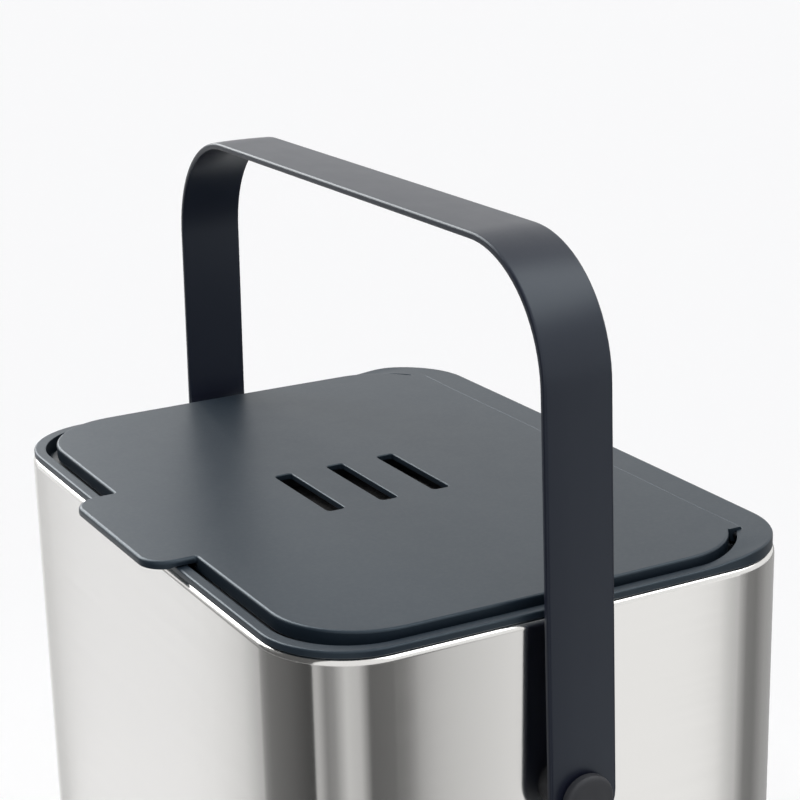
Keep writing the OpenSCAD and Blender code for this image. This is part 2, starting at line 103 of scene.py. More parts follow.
def outlineKeys(parts=(0, 1, 2, 3), lastSide=True):
    keys = []
    for part in parts:
        steps = outline["cornerSteps"]
        keys += [(part, "corner", i / steps) for i in range(steps + 1)]
        if lastSide or part != parts[-1]:
            sides = outline["sideSteps"]
            keys += [(part, "side", i / sides) for i in range(1, sides)]
    return keys


def cornerPoint(part, t, halfWidth, front, rear, radius):
    x = (halfWidth - radius) * (1 if part < 2 else -1)
    y = front + radius if part in (0, 3) else rear - radius
    angle = math.radians(90 * (part - 1 + t))
    return x + radius * math.cos(angle), y + radius * math.sin(angle)


def planPoint(key, halfWidth, front, rear, radius):
    part, kind, t = key
    shape = (halfWidth, front, rear, radius)
    if kind == "corner":
        x, y = cornerPoint(part, t, *shape)
    else:
        x0, y0 = cornerPoint(part, 1, *shape)
        x1, y1 = cornerPoint((part + 1) % 4, 0, *shape)
        x, y = between(x0, x1, t), between(y0, y1, t)
    u = x / halfWidth
    v = (2 * y - front - rear) / (rear - front)
    return x - outline["sideBow"] * u * v * v, y - outline["frontBow"] * v * u * u


def loft(bm, rings, closed=False, capped=False):
    rows = [[bm.verts.new(p) for p in ring] for ring in rings]
    pairs = list(zip(rows, rows[1:]))
    if closed:
        pairs.append((rows[-1], rows[0]))
    for a, b in pairs:
        for i in range(len(a)):
            j = (i + 1) % len(a)
            bm.faces.new((a[i], a[j], b[j], b[i]))
    if capped:
        bm.faces.new(rows[0])
        bm.faces.new(rows[-1])
    return rows


def fillFlat(bm, *loops):
    edges = []
    for loop in loops:
        for i, vert in enumerate(loop):
            other = loop[(i + 1) % len(loop)]
            edges.append(bm.edges.get((vert, other)) or bm.edges.new((vert, other)))
    bmesh.ops.triangle_fill(bm, use_beauty=True, use_dissolve=False, edges=edges)


def meshObject(bm, name, weld=0.000002):
    bmesh.ops.remove_doubles(bm, verts=bm.verts, dist=weld)
    bmesh.ops.recalc_face_normals(bm, faces=bm.faces)
    mesh = bpy.data.meshes.new(name)
    bm.to_mesh(mesh)
    bm.free()
    obj = bpy.data.objects.new(name, mesh)
    scene.collection.objects.link(obj)
    return obj


def takeResult(obj):
    # keeps what the modifiers made as a plain mesh and drops the modifiers
    view = bpy.context.evaluated_depsgraph_get()
    mesh = bpy.data.meshes.new_from_object(
        obj.evaluated_get(view), preserve_all_data_layers=True, depsgraph=view)
    old = obj.data
    obj.modifiers.clear()
    obj.data = mesh
    bpy.data.meshes.remove(old)


def finishPiece(obj, material, body, replaced=(), sharp=32):
    mesh = obj.data
    mesh.materials.clear()
    mesh.materials.append(material)
    mesh.polygons.foreach_set("use_smooth", [True] * len(mesh.polygons))
    mesh.set_sharp_from_angle(angle=math.radians(sharp))
    even = obj.modifiers.new("evenShading", "WEIGHTED_NORMAL")
    even.keep_sharp = True
    takeResult(obj)
    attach(obj, body)
    if replaced:
        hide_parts(*replaced)
    print("made", obj.name, len(obj.data.polygons), "faces")
    return obj


# Shader groups that several materials share

def setInputs(tree, node, values):
    # links a socket to each input, or sets its plain value
    for title, source in values.items():
        if isinstance(source, bpy.types.NodeSocket):
            tree.links.new(source, node.inputs[title])
        else:
            node.inputs[title].default_value = source


def addNode(tree, kind, values=None, **settings):
    node = tree.nodes.new(kind)
    for key, value in settings.items():
        setattr(node, key, value)
    setInputs(tree, node, values or {})
    return node


def newGroup(name, inputs, outputs):
    group = bpy.data.node_groups.new(name, "ShaderNodeTree")
    for title, value in inputs.items():
        kind = "NodeSocketFloat" if isinstance(value, float) else "NodeSocketColor"
        socket = group.interface.new_socket(title, in_out="INPUT", socket_type=kind)
        socket.default_value = value
    for title in outputs:
        kind = "NodeSocketColor" if title == "Colour" else "NodeSocketFloat"
        group.interface.new_socket(title, in_out="OUTPUT", socket_type=kind)
    given = group.nodes.new("NodeGroupInput").outputs
    return group, given, group.nodes.new("NodeGroupOutput")


def mathNode(tree, operation, first, second=0.0, clamp=False):
    return addNode(tree, "ShaderNodeMath", {0: first, 1: second},
                   operation=operation, use_clamp=clamp).outputs[0]


def rangeNode(tree, value, fromMin, fromMax, toMin, toMax):
    return addNode(tree, "ShaderNodeMapRange", {
        "Value": value, "From Min": fromMin, "From Max": fromMax,
        "To Min": toMin, "To Max": toMax}).outputs[0]


def mixColour(tree, factor, first, second):
    return addNode(tree, "ShaderNodeMix", {0: factor, 6: first, 7: second},
                   data_type="RGBA").outputs[2]


def objectNoise(tree, scale, detail=3.0, stretch=(1, 1, 1)):
    spot = addNode(tree, "ShaderNodeTexCoord").outputs["Object"]
    mapped = addNode(tree, "ShaderNodeMapping", {"Vector": spot, "Scale": stretch})
    return addNode(tree, "ShaderNodeTexNoise", {
        "Vector": mapped.outputs[0], "Scale": scale, "Detail": detail}).outputs[0]


def makeMouldedGrain():
    # the fine satin skin of a moulded part: a little mottling, gloss that wanders, tiny bumps
    group, given, out = newGroup("mouldedGrain", {
        "Colour": (0.05, 0.06, 0.07, 1), "Mottle Colour": (0.05, 0.06, 0.07, 1),
        "Mottle Amount": 0.5, "Grain Scale": 2600.0, "Roughness Low": 0.4,
        "Roughness High": 0.5}, ("Colour", "Roughness", "Height"))
    cloud = rangeNode(group, objectNoise(group, 34.0, 4.0), 0.35, 0.65, 0.0, 1.0)
    amount = mathNode(group, "MULTIPLY", cloud, given["Mottle Amount"])
    grain = addNode(group, "ShaderNodeTexNoise", {
        "Vector": addNode(group, "ShaderNodeTexCoord").outputs["Object"],
        "Scale": given["Grain Scale"], "Detail": 2.0}).outputs[0]
    setInputs(group, out, {
        "Colour": mixColour(group, amount, given["Colour"], given["Mottle Colour"]),
        "Roughness": rangeNode(group, objectNoise(group, 90.0, 3.0), 0.3, 0.7,
                               given["Roughness Low"], given["Roughness High"]),
        "Height": grain})
    return group


def makeBrushedGrain():
    # fine lines that run round the body, from noise that changes quickly only upwards
    group, given, out = newGroup("brushedGrain", {
        "Colour": (0.78, 0.77, 0.75, 1), "Line Colour": (0.68, 0.67, 0.65, 1),
        "Line Amount": 0.3, "Roughness Low": 0.18, "Roughness High": 0.26},
        ("Colour", "Roughness", "Height"))
    fine = objectNoise(group, 1.0, 3.0, (18, 18, 5200))
    broad = objectNoise(group, 1.0, 2.0, (9, 9, 420))
    lines = rangeNode(group, mathNode(group, "MULTIPLY", fine, broad), 0.15, 0.4, 0.0, 1.0)
    amount = mathNode(group, "MULTIPLY", lines, given["Line Amount"])
    setInputs(group, out, {
        "Colour": mixColour(group, amount, given["Colour"], given["Line Colour"]),
        "Roughness": rangeNode(group, broad, 0.3, 0.7,
                               given["Roughness Low"], given["Roughness High"]),
        "Height": fine})
    return group


def upwardFacing(group):
    normal = addNode(group, "ShaderNodeNewGeometry").outputs["Normal"]
    return addNode(group, "ShaderNodeSeparateXYZ", {0: normal}).outputs["Z"]


def edgeSharpness(group):
    return addNode(group, "ShaderNodeNewGeometry").outputs["Pointiness"]


# thin patchy films over some places: where, from which to which value, and in what patches
films = {
    "edgeWear": {"title": "Wear Colour", "colour": (0.2, 0.21, 0.22, 1), "amount": 0.15,
                 "where": edgeSharpness, "limits": (0.52, 0.62), "grain": (260.0, 4.0),
                 "patches": (0.35, 0.6, 0.2, 1.0)},
    "dust": {"title": "Dust Colour", "colour": (0.42, 0.42, 0.41, 1), "amount": 0.03,
             "where": upwardFacing, "limits": (0.6, 1.0), "grain": (700.0, 5.0),
             "patches": (0.42, 0.7, 0.0, 1.0)},
}


def makeFilm(name):
    film = films[name]
    group, given, out = newGroup(name, {
        "Colour": (0.05, 0.06, 0.07, 1), film["title"]: film["colour"],
        "Amount": film["amount"]}, ("Colour",))
    there = rangeNode(group, film["where"](group), *film["limits"], 0.0, 1.0)
    patchy = rangeNode(group, objectNoise(group, *film["grain"]), *film["patches"])
    mask = mathNode(group, "MULTIPLY", mathNode(group, "MULTIPLY", there, patchy),
                    given["Amount"], clamp=True)
    colour = mixColour(group, mask, given["Colour"], given[film["title"]])
    setInputs(group, out, {"Colour": colour})
    return group


mouldedGrain = makeMouldedGrain()
brushedGrain = makeBrushedGrain()
edgeWear = makeFilm("edgeWear")
dustFilm = makeFilm("dust")


def rgb(colour):
    return (*colour, 1.0)


def newMaterial(name):
    material = bpy.data.materials.new(name)
    material.use_nodes = True
    return material, material.node_tree, material.node_tree.nodes["Principled BSDF"]


def useGroup(tree, group, values):
    return addNode(tree, "ShaderNodeGroup", values, node_tree=group).outputs


def addBump(tree, height, look):
    return addNode(tree, "ShaderNodeBump", {
        "Height": height, "Strength": look["bump"], "Distance": look["bumpDepth"]}).outputs[0]


def mouldedPlastic(name, look):
    material, tree, shader = newMaterial(name)
    grain = useGroup(tree, mouldedGrain, {
        "Colour": rgb(look["colour"]), "Mottle Colour": rgb(look["mottle"]),
        "Mottle Amount": look["mottleAmount"], "Grain Scale": look["grainScale"],
        "Roughness Low": look["gloss"][0], "Roughness High": look["gloss"][1]})
    worn = useGroup(tree, edgeWear, {
        "Colour": grain["Colour"], "Wear Colour": rgb(look["wear"]),
        "Amount": look["wearAmount"]})
    dusty = useGroup(tree, dustFilm, {"Colour": worn["Colour"], "Amount": look["dustAmount"]})
    setInputs(tree, shader, {
        "Base Color": dusty["Colour"], "Roughness": grain["Roughness"],
        "Specular Tint": rgb(look.get("tint", (1, 1, 1))),
        "Normal": addBump(tree, grain["Height"], look)})
    return material


def brushedMetal(name, look):
    material, tree, shader = newMaterial(name)
    grain = useGroup(tree, brushedGrain, {
        "Colour": rgb(look["colour"]), "Line Colour": rgb(look["lines"]),
        "Line Amount": look["lineAmount"],
        "Roughness Low": look["gloss"][0], "Roughness High": look["gloss"][1]})
    setInputs(tree, shader, {
        "Base Color": grain["Colour"], "Roughness": grain["Roughness"], "Metallic": 1.0,
        "Normal": addBump(tree, grain["Height"], look)})
    return material, tree, shader


plasticLook = {
    "slatePlastic": {
        "colour": (0.013, 0.022, 0.034), "mottle": (0.017, 0.027, 0.038), "mottleAmount": 0.4,
        "grainScale": 2600.0, "gloss": (0.375, 0.395), "wear": (0.12, 0.14, 0.16),
        "wearAmount": 0.1, "dustAmount": 0.02, "bump": 0.25, "bumpDepth": 0.00004,
        "tint": (0.76, 0.91, 1.0)},
    "strapPlastic": {
        "colour": (0.01, 0.012, 0.026), "mottle": (0.013, 0.016, 0.03), "mottleAmount": 0.3,
        "grainScale": 3000.0, "gloss": (0.345, 0.365), "wear": (0.1, 0.11, 0.13),
        "wearAmount": 0.1, "dustAmount": 0.01, "bump": 0.2, "bumpDepth": 0.00003,
        "tint": (0.86, 0.97, 1.0)},
    "darkPlastic": {
        "colour": (0.03, 0.032, 0.038), "mottle": (0.04, 0.042, 0.048), "mottleAmount": 0.5,
        "grainScale": 2200.0, "gloss": (0.48, 0.6), "wear": (0.12, 0.12, 0.13),
        "wearAmount": 0.15, "dustAmount": 0.02, "bump": 0.3, "bumpDepth": 0.00005},
    "bucketPlastic": {
        "colour": (0.08, 0.088, 0.096), "mottle": (0.1, 0.107, 0.113), "mottleAmount": 0.6,
        "grainScale": 1800.0, "gloss": (0.3, 0.42), "wear": (0.2, 0.21, 0.22),
        "wearAmount": 0.15, "dustAmount": 0.02, "bump": 0.15, "bumpDepth": 0.00004},
    "footRubber": {
        "colour": (0.022, 0.022, 0.023), "mottle": (0.035, 0.035, 0.035), "mottleAmount": 0.8,
        "grainScale": 1500.0, "gloss": (0.7, 0.85), "wear": (0.1, 0.1, 0.1),
        "wearAmount": 0.2, "dustAmount": 0.08, "bump": 0.4, "bumpDepth": 0.00008},
    "charcoalFoam": {
        "colour": (0.012, 0.012, 0.013), "mottle": (0.045, 0.045, 0.047), "mottleAmount": 0.9,
        "grainScale": 900.0, "gloss": (0.85, 0.95), "wear": (0.05, 0.05, 0.05),
        "wearAmount": 0.1, "dustAmount": 0.0, "bump": 1.0, "bumpDepth": 0.0006},
}
slatePlastic, strapPlastic, darkPlastic, bucketPlastic, footRubber, charcoalFoam = (
    mouldedPlastic(name, look) for name, look in plasticLook.items())

steelLook = {
    "colour": (0.78, 0.77, 0.75), "lines": (0.7, 0.69, 0.67), "lineAmount": 0.06,
    "gloss": (0.135, 0.15), "bump": 0.015, "bumpDepth": 0.00002}
brushedSteel, steelTree, steelShader = brushedMetal("brushedSteel", steelLook)
wrapTangent = addNode(steelTree, "ShaderNodeTangent", direction_type="UV_MAP", uv_map="wrap")
setInputs(steelTree, steelShader, {
    "Anisotropic": 0.85, "Anisotropic Rotation": 0.25, "Tangent": wrapTangent.outputs[0]})
platedLook = {
    "colour": (0.6, 0.6, 0.62), "lines": (0.5, 0.5, 0.52), "lineAmount": 0.4,
    "gloss": (0.2, 0.32), "bump": 0.1, "bumpDepth": 0.00002}
platedSteel = brushedMetal("platedSteel", platedLook)[0]
pinSteel = brushedMetal("pinSteel", {**platedLook, "colour": (0.1, 0.1, 0.11),
                                     "lines": (0.07, 0.07, 0.08), "gloss": (0.4, 0.5)})[0]
print("materials ready")

# Geometry Nodes trees

def geometryTree(name, inputs):
    tree = bpy.data.node_groups.new(name, "GeometryNodeTree")
    tree.interface.new_socket("Geometry", in_out="INPUT", socket_type="NodeSocketGeometry")
    for title, kind in inputs:
        tree.interface.new_socket(title, in_out="INPUT", socket_type=kind)
    tree.interface.new_socket("Material", in_out="INPUT", socket_type="NodeSocketMaterial")
    tree.interface.new_socket("Geometry", in_out="OUTPUT", socket_type="NodeSocketGeometry")
    given = tree.nodes.new("NodeGroupInput").outputs
    return tree, given, tree.nodes.new("NodeGroupOutput")


def endTree(tree, given, out, geometry):
    real = addNode(tree, "GeometryNodeRealizeInstances", {"Geometry": geometry})
    painted = addNode(tree, "GeometryNodeSetMaterial", {
        "Geometry": real.outputs[0], "Material": given["Material"]})
    tree.links.new(painted.outputs[0], out.inputs[0])
    return tree


def makeFourCorners():
    # repeats the given piece at the corners of a rectangle
    tree, given, out = geometryTree("fourCorners", [
        ("Spacing Across", "NodeSocketFloat"), ("Spacing Deep", "NodeSocketFloat"),
        ("Middle", "NodeSocketVector")])
    grid = addNode(tree, "GeometryNodeMeshGrid", {
        "Size X": given["Spacing Across"], "Size Y": given["Spacing Deep"],
        "Vertices X": 2, "Vertices Y": 2})
    moved = addNode(tree, "GeometryNodeTransform", {
        "Geometry": grid.outputs[0], "Translation": given["Middle"]})
    spread = addNode(tree, "GeometryNodeInstanceOnPoints", {
        "Points": moved.outputs[0], "Instance": given["Geometry"]})
    return endTree(tree, given, out, spread.outputs[0])


def makeStrapBend():
    # bends a flat strap round its path: x is the length along it, z the height through it
    tree, given, out = geometryTree("strapBend", [
        ("Half Top", "NodeSocketFloat"), ("Bend Radius", "NodeSocketFloat"),
        ("Bend Angle", "NodeSocketFloat"), ("Top Height", "NodeSocketFloat")])
    flat = addNode(tree, "ShaderNodeSeparateXYZ", {
        0: addNode(tree, "GeometryNodeInputPosition").outputs[0]}).outputs
    halfTop, radius, bendAngle = (given[k] for k in ("Half Top", "Bend Radius", "Bend Angle"))

    def calc(operation, first, second=0.0):
        return mathNode(tree, operation, first, second)

    along, side = calc("ABSOLUTE", flat["X"]), calc("SIGN", flat["X"])
    top, past = calc("MINIMUM", along, halfTop), calc("SUBTRACT", along, halfTop)
    angle = calc("MINIMUM", calc("MAXIMUM", calc("DIVIDE", past, radius), 0.0), bendAngle)
    leg = calc("MAXIMUM", calc("SUBTRACT", past, calc("MULTIPLY", radius, bendAngle)), 0.0)
    reach = calc("ADD", radius, flat["Z"])
    x = calc("ADD", top, calc("MULTIPLY", reach, calc("SINE", angle)))
    x = calc("ADD", x, calc("MULTIPLY", leg, calc("COSINE", bendAngle)))
    z = calc("MULTIPLY", reach, calc("COSINE", angle))
    z = calc("ADD", z, calc("SUBTRACT", given["Top Height"], radius))
    z = calc("SUBTRACT", z, calc("MULTIPLY", leg, calc("SINE", bendAngle)))
    bent = addNode(tree, "ShaderNodeCombineXYZ", {
        "X": calc("MULTIPLY", side, x), "Y": flat["Y"], "Z": z})
    moved = addNode(tree, "GeometryNodeSetPosition", {
        "Geometry": given["Geometry"], "Position": bent.outputs[0]})
    return endTree(tree, given, out, moved.outputs[0])


def runTree(obj, tree, values):
    nodesModifier = obj.modifiers.new(tree.name, "NODES")
    nodesModifier.node_group = tree
    for item in tree.interface.items_tree:
        if item.in_out == "INPUT" and item.name in values:
            nodesModifier[item.identifier] = values[item.name]
    takeResult(obj)


fourCorners = makeFourCorners()
strapBend = makeStrapBend()

# Steel sleeve

sleeve = {"halfWidth": 124, "halfDepth": 90, "cornerRadius": 29, "bottom": 8, "top": 187,
          "roll": 2.2, "sheet": 0.8, "flange": 12, "footBend": 1.6, "rollSteps": 8,
          "bendSteps": 5, "wrapPerMetre": 5}


def bodyPoint(key, inset):
    half, deep = sleeve["halfWidth"] - inset, sleeve["halfDepth"] - inset
    return planPoint(key, half, -deep, deep, sleeve["cornerRadius"] - inset)


def bodyRing(inset, z, keys):
    return [place(*bodyPoint(key, inset), z) for key in keys]


def makeSleeve():
    keys = outlineKeys()
    roll, sheet, bend, flange = (sleeve[k] for k in ("roll", "sheet", "footBend", "flange"))
    bottom, rollZ, bendZ = sleeve["bottom"], sleeve["top"] - roll, sleeve["bottom"] + bend
    turns = [(bend, bend, bendZ, -90, 0, sleeve["bendSteps"]),
             (roll, roll, rollZ, 0, 90, sleeve["rollSteps"]),
             (roll, roll - sheet, rollZ, 90, 0, sleeve["rollSteps"]),
             (bend, bend - sheet, bendZ, 0, -90, sleeve["bendSteps"])]
    profile = [(flange, bottom)]
    for middle, radius, z, start, end, steps in turns:
        profile += [(middle + dx, z + dz) for dx, dz in arcProfile(radius, start, end, steps)]
    profile += [(flange, bottom + sheet)]
    bm = bmesh.new()
    rows = loft(bm, [bodyRing(inset, z, keys) for inset, z in profile], closed=True)
    wrap = bm.loops.layers.uv.new("wrap")
    wrapOf = {vert: (i / len(row), vert.co.z * sleeve["wrapPerMetre"])
              for row in rows for i, vert in enumerate(row)}
    for face in bm.faces:
        farthest = max(wrapOf[loop.vert][0] for loop in face.loops)
        for loop in face.loops:
            u, v = wrapOf[loop.vert]
            loop[wrap].uv = (u + 1 if farthest - u > 0.5 else u, v)
    finishPiece(meshObject(bm, "steelSleeve"), brushedSteel, "caddy",
                ["outer_shell"], sharp=60)


makeSleeve()

# Rim frame

rim = {"inset": 0.6, "strip": 189.4, "band": 191.2, "climb": (49, 72), "side": 187.0,
       "outerRound": 0.7, "innerRound": 0.18, "skirtInset": 2.5, "skirtWall": 1.6,
       "skirtBottom": 167.5, "ledge": 183.5, "ledgeWall": 1.6,
       "opening": (119.7, -85.7, 77.2, 26.7), "mouth": (111.7, -77.7, 63.6, 18.7),
       "pocketX": 104.3, "pocketY": 73.0, "pocketCut": (1, 0.3), "bevel": 0.3, "ledgeBevel": 0.4,
       "topShares": (0.08, 0.5, 0.92)}


def rimTop(y):
    low, high = rim["climb"]
    return between(rim["strip"], rim["band"], smoothStep(y, low, high))


def grown(shape, grow):
    half, front, rear, radius = shape
    return half + grow, front - grow, rear + grow, radius + grow


def alongPath(points, t):
    lengths = [math.dist(a, b) for a, b in zip(points, points[1:])]
    left = t * sum(lengths)
    for length, a, b in zip(lengths, points, points[1:]):
        if left <= length:
            break
        left -= length
    share = min(left / length, 1)
    return between(a[0], b[0], share), between(a[1], b[1], share)


def openingPoint(key, grow=0.0):
    part, kind, t = key
    half, front, rear, radius = grown(rim["opening"], grow)
    if kind == "corner" and part in (1, 2):
        # behind the hinge line the corner is squared off, so that the lid can swing down
        wide, start = rim["pocketX"] + grow, rim["pocketY"]
        turn = math.degrees(math.asin((start - rear + radius) / radius)) / 90
        q = t if part == 1 else 1 - t
        if q > turn:
            cut, inner = rim["pocketCut"]
            path = [(wide, start), (wide, rear - cut), (wide - inner, rear - inner),
                    (wide - cut, rear), (half - radius - outline["sideBow"], rear)]
            x, y = alongPath(path, (q - turn) / (1 - turn))
            return (x if part == 1 else -x), y
    return planPoint(key, half, front, rear, radius)


def makeRim():
    keys = outlineKeys()

    def ring(pointAt, amount, z=None, drop=0.0):
        points = [pointAt(key, amount) for key in keys]
        return [place(x, y, rimTop(y) - drop if z is None else z) for x, y in points]

    def mouthPoint(key, grow):
        return planPoint(key, *grown(rim["mouth"], grow))

    skirt, bottom, inset, side = (rim[k] for k in ("skirtInset", "skirtBottom", "inset", "side"))
    outer, inner, ledge = rim["outerRound"], rim["innerRound"], rim["ledge"]
    under, skirtInner = ledge - rim["ledgeWall"], skirt + rim["skirtWall"]
    bevel, soft = rim["bevel"], rim["ledgeBevel"]
    rings = [ring(bodyPoint, skirt + bevel, bottom), ring(bodyPoint, skirt, bottom + bevel),
             ring(bodyPoint, skirt, side), ring(bodyPoint, inset + bevel, side),
             ring(bodyPoint, inset, side + bevel)]
    for dx, dz in arcProfile(outer, 0, 90, 5):
        rings.append(ring(bodyPoint, inset + outer + dx, drop=outer - dz))
    edges = [ring(openingPoint, grow, drop=drop) for grow, drop in roundOver(inner, 4)]
    start = rings[-1]
    for share in rim["topShares"]:
        rings.append([a.lerp(b, share) for a, b in zip(start, edges[0])])
    rings += edges
    rings += [ring(openingPoint, 0, ledge + soft), ring(openingPoint, -soft, ledge),
              ring(mouthPoint, bevel, ledge), ring(mouthPoint, 0, ledge - bevel),
              ring(mouthPoint, 0, under + bevel), ring(mouthPoint, bevel, under),
              ring(bodyPoint, skirtInner + soft, under), ring(bodyPoint, skirtInner, under - soft),
              ring(bodyPoint, skirtInner, bottom + bevel),
              ring(bodyPoint, skirtInner - bevel, bottom)]
    bm = bmesh.new()
    loft(bm, rings, closed=True)
    finishPiece(meshObject(bm, "rimFrame"), slatePlastic, "caddy",
                ["rim_frame"])


makeRim()

# Bucket

bucket = {"outer": 1.6, "wall": 1.8, "bottom": 9.5, "top": 185.5, "flange": 2.0,
          "flangeReach": 8.0, "footRound": 5.0, "lipRound": 0.7, "bevel": 0.3, "fillet": 0.5,
          "floorInset": 6}


def makeBucket():
    keys = outlineKeys()
    outer, wall, foot = bucket["outer"], bucket["wall"], bucket["footRound"]
    inner, top, lip = outer + wall, bucket["top"], bucket["lipRound"]
    bottom, floor = bucket["bottom"], bucket["bottom"] + wall
    reach, under = outer - bucket["flangeReach"], top - bucket["flange"]
    bevel, fillet, middle = bucket["bevel"], bucket["fillet"], foot + bucket["floorInset"]

    def turn(inset, z, radius, start, end, steps, side=1):
        return [(inset + side * dx, z + dz) for dx, dz in arcProfile(radius, start, end, steps)]

    profile = [(outer + middle, bottom)]
    profile += turn(outer + foot, bottom + foot, foot, -90, 0, 8)
    profile += [(outer, under - fillet), (outer - fillet, under), (reach + bevel, under),
                (reach, under + bevel)]
    profile += turn(reach + lip, top - lip, lip, 0, 90, 4)
    profile += turn(inner - lip, top - lip, lip, 90, 0, 4, -1)
    profile += turn(inner + foot, floor + foot, foot, 0, -90, 8)
    profile += [(inner + middle, floor)]
    bm = bmesh.new()
    loft(bm, [[place(*planPoint(key, *grown(rim["mouth"], -inset)), z) for key in keys]
              for inset, z in profile], capped=True)
    finishPiece(meshObject(bm, "innerBucket"), bucketPlastic, "caddy",
                ["inner_bucket"])


makeBucket()

# Lid with its tab and vents

lid = {"plan": (117.9, -82.7, 76.4, 29.0), "top": 192.0, "under": 189.8, "edgeBottom": 187.0,
       "edgeRound": 0.9, "rearRound": 0.8, "barrel": 2.4, "barrelHalf": 104.15, "hingeY": 74.0,
       "hingeZ": 189.6, "tabHalf": 35.0, "tabFront": -98.5, "tabCorner": 9.5, "tabRoot": 0.8,
       "tabRound": 1.2, "lip": 189.2, "lipEnd": -91.5, "tabUnder": 189.7, "tabClear": -90.3,
       "vents": (-26.0, -6.0, 14.0), "ventLength": 41.5, "ventWidth": 6.4, "ventCorner": 1.6,
       "ventRound": 0.5, "ventBevel": (0.2, 0.25), "bevel": 0.4, "halfBevel": 0.12,
       "roundSteps": 6, "rootGap": 0.6, "gapSteps": 5, "barrelStart": 86.0, "barrelFront": 0.2}
# the section below the lid's rounded edge, as (inset, height) pairs: at the sides, with the
# edge wall, and along the rear, where the hinge barrel takes its place
lidSections = (
    [(0, 0.4), (0.12, 0.12), (0.4, 0), (1.6, 0), (1.88, 0.12), (2.0, 0.4), (2.0, 2.8)],
    [(0.32, 1.4), (1.2, 0.52), (2.4, 0.2), (3.6, 0.52), (4.48, 1.4), (4.8, 2.6), (4.9, 2.8)])
# the tab's outline: each run's name, its steps, and whether its two ends count
tabRuns = (("rootLeft", 6, True), ("sideLeft", 4, False), ("cornerLeft", 10, True),
           ("nose", 16, False), ("cornerRight", 10, True), ("sideRight", 4, False),
           ("rootRight", 6, True))
# shares of the rear corner's turn: where the barrel becomes the section, and where the
# barrel's end carries the top on so that the lid has no rounding there
rearTurns = {"barrel": (0.45, 0.95), "plain": (0.62, 0.68), "round": (0.9, 1), "left": 0.03}


def lidKeys():
    root = lid["tabHalf"] + lid["tabRoot"]
    gap = lid["plan"][0] - lid["plan"][3] - root
    steps = lid["gapSteps"]
    beside = [root + lid["rootGap"]] + [root + gap * i / steps for i in range(1, steps)]
    keys = outlineKeys(lastSide=False)
    keys += [("front", "side", -x) for x in reversed(beside)]
    for kind, steps, ends in tabRuns:
        first = 0 if ends else 1
        keys += [("tab", kind, i / steps) for i in range(first, steps + 1 - first)]
    return keys + [("front", "side", x) for x in beside]


def frontY(x):
    return lid["plan"][1] + outline["frontBow"] * (x / lid["plan"][0]) ** 2


def lidPoint(key, inset):
    part, kind, t = key
    if part == "front":
        return t, frontY(t) + inset
    if part != "tab":
        return planPoint(key, *grown(lid["plan"], -inset))
    half, nose, corner, root = lid["tabHalf"], lid["tabFront"], lid["tabCorner"], lid["tabRoot"]
    front = frontY(half + root)
    if kind.endswith("Right"):
        x, y = lidPoint(("tab", kind[:-5] + "Left", 1 - t), inset)
        return -x, y
    if kind == "rootLeft":
        angle = math.radians(90 * (1 - t))
        return (-half - root + (root + inset) * math.cos(angle),
                front - root + (root + inset) * math.sin(angle))
    if kind == "sideLeft":
        return -half + inset, front - root + (nose + corner - front + root) * t
    if kind == "cornerLeft":
        angle = math.radians(180 + 90 * t)
        return (-half + corner + (corner - inset) * math.cos(angle),
                nose + corner + (corner - inset) * math.sin(angle))
    return (half - corner) * (2 * t - 1), nose + inset


def rearTurn(key):
    # how far a point has gone round a rear corner towards the rear; None elsewhere
    part, kind, t = key
    if kind != "corner" or part not in (1, 2):
        return None
    return t if part == 1 else 1 - t


def rearShare(key):
    turn = rearTurn(key)
    if turn is None:
        return 1 if key[0] == 1 else 0
    return smoothStep(turn, *rearTurns["barrel"])


def lidRound(key):
    # radius of the top edge, which changes on the tab and along the rear
    part, kind, t = key
    if part == "tab":
        rise = {"rootLeft": t, "rootRight": 1 - t}.get(kind, 1)
        return between(lid["edgeRound"], lid["tabRound"], rise)
    radius, turn = between(lid["edgeRound"], lid["rearRound"], rearShare(key)), rearTurn(key)
    if turn is not None:
        plain = smoothStep(turn, *rearTurns["plain"]) * (1 - smoothStep(turn, *rearTurns["round"]))
        radius *= 1 - (1 - rearTurns["left"]) * plain
    return radius


def tabPoints(key, xEnd):
    # the tab's underside at one place on its outline, from its edge back to the lid's front
    bevel, half = lid["bevel"], lid["halfBevel"]
    lip, under, lipEnd, clear = (lid[k] for k in ("lip", "tabUnder", "lipEnd", "tabClear"))
    x0, y0 = lidPoint(key, 0)
    x2, y2 = lidPoint(key, bevel)
    yEnd = frontY(xEnd)
    edge = between(lip, under, clampShare(y0, lipEnd, clear))
    points = [(x0, y0, edge + bevel), (*lidPoint(key, half), edge + half), (x2, y2, edge)]
    for y, z in ((lipEnd, lip), (clear, under)):
        t = clampShare(y, y2, yEnd) if y2 < yEnd else 0
        points.append((between(x2, xEnd, t), between(y2, yEnd, t), z if t > 0 else edge))
    return points + [(xEnd, yEnd, under)]


def ventRing(middle, grow, z):
    points = roundedPoints(lid["ventLength"] / 2, lid["ventWidth"] / 2, lid["ventCorner"], 8, grow)
    return [place(x, middle + y, z) for x, y in points]


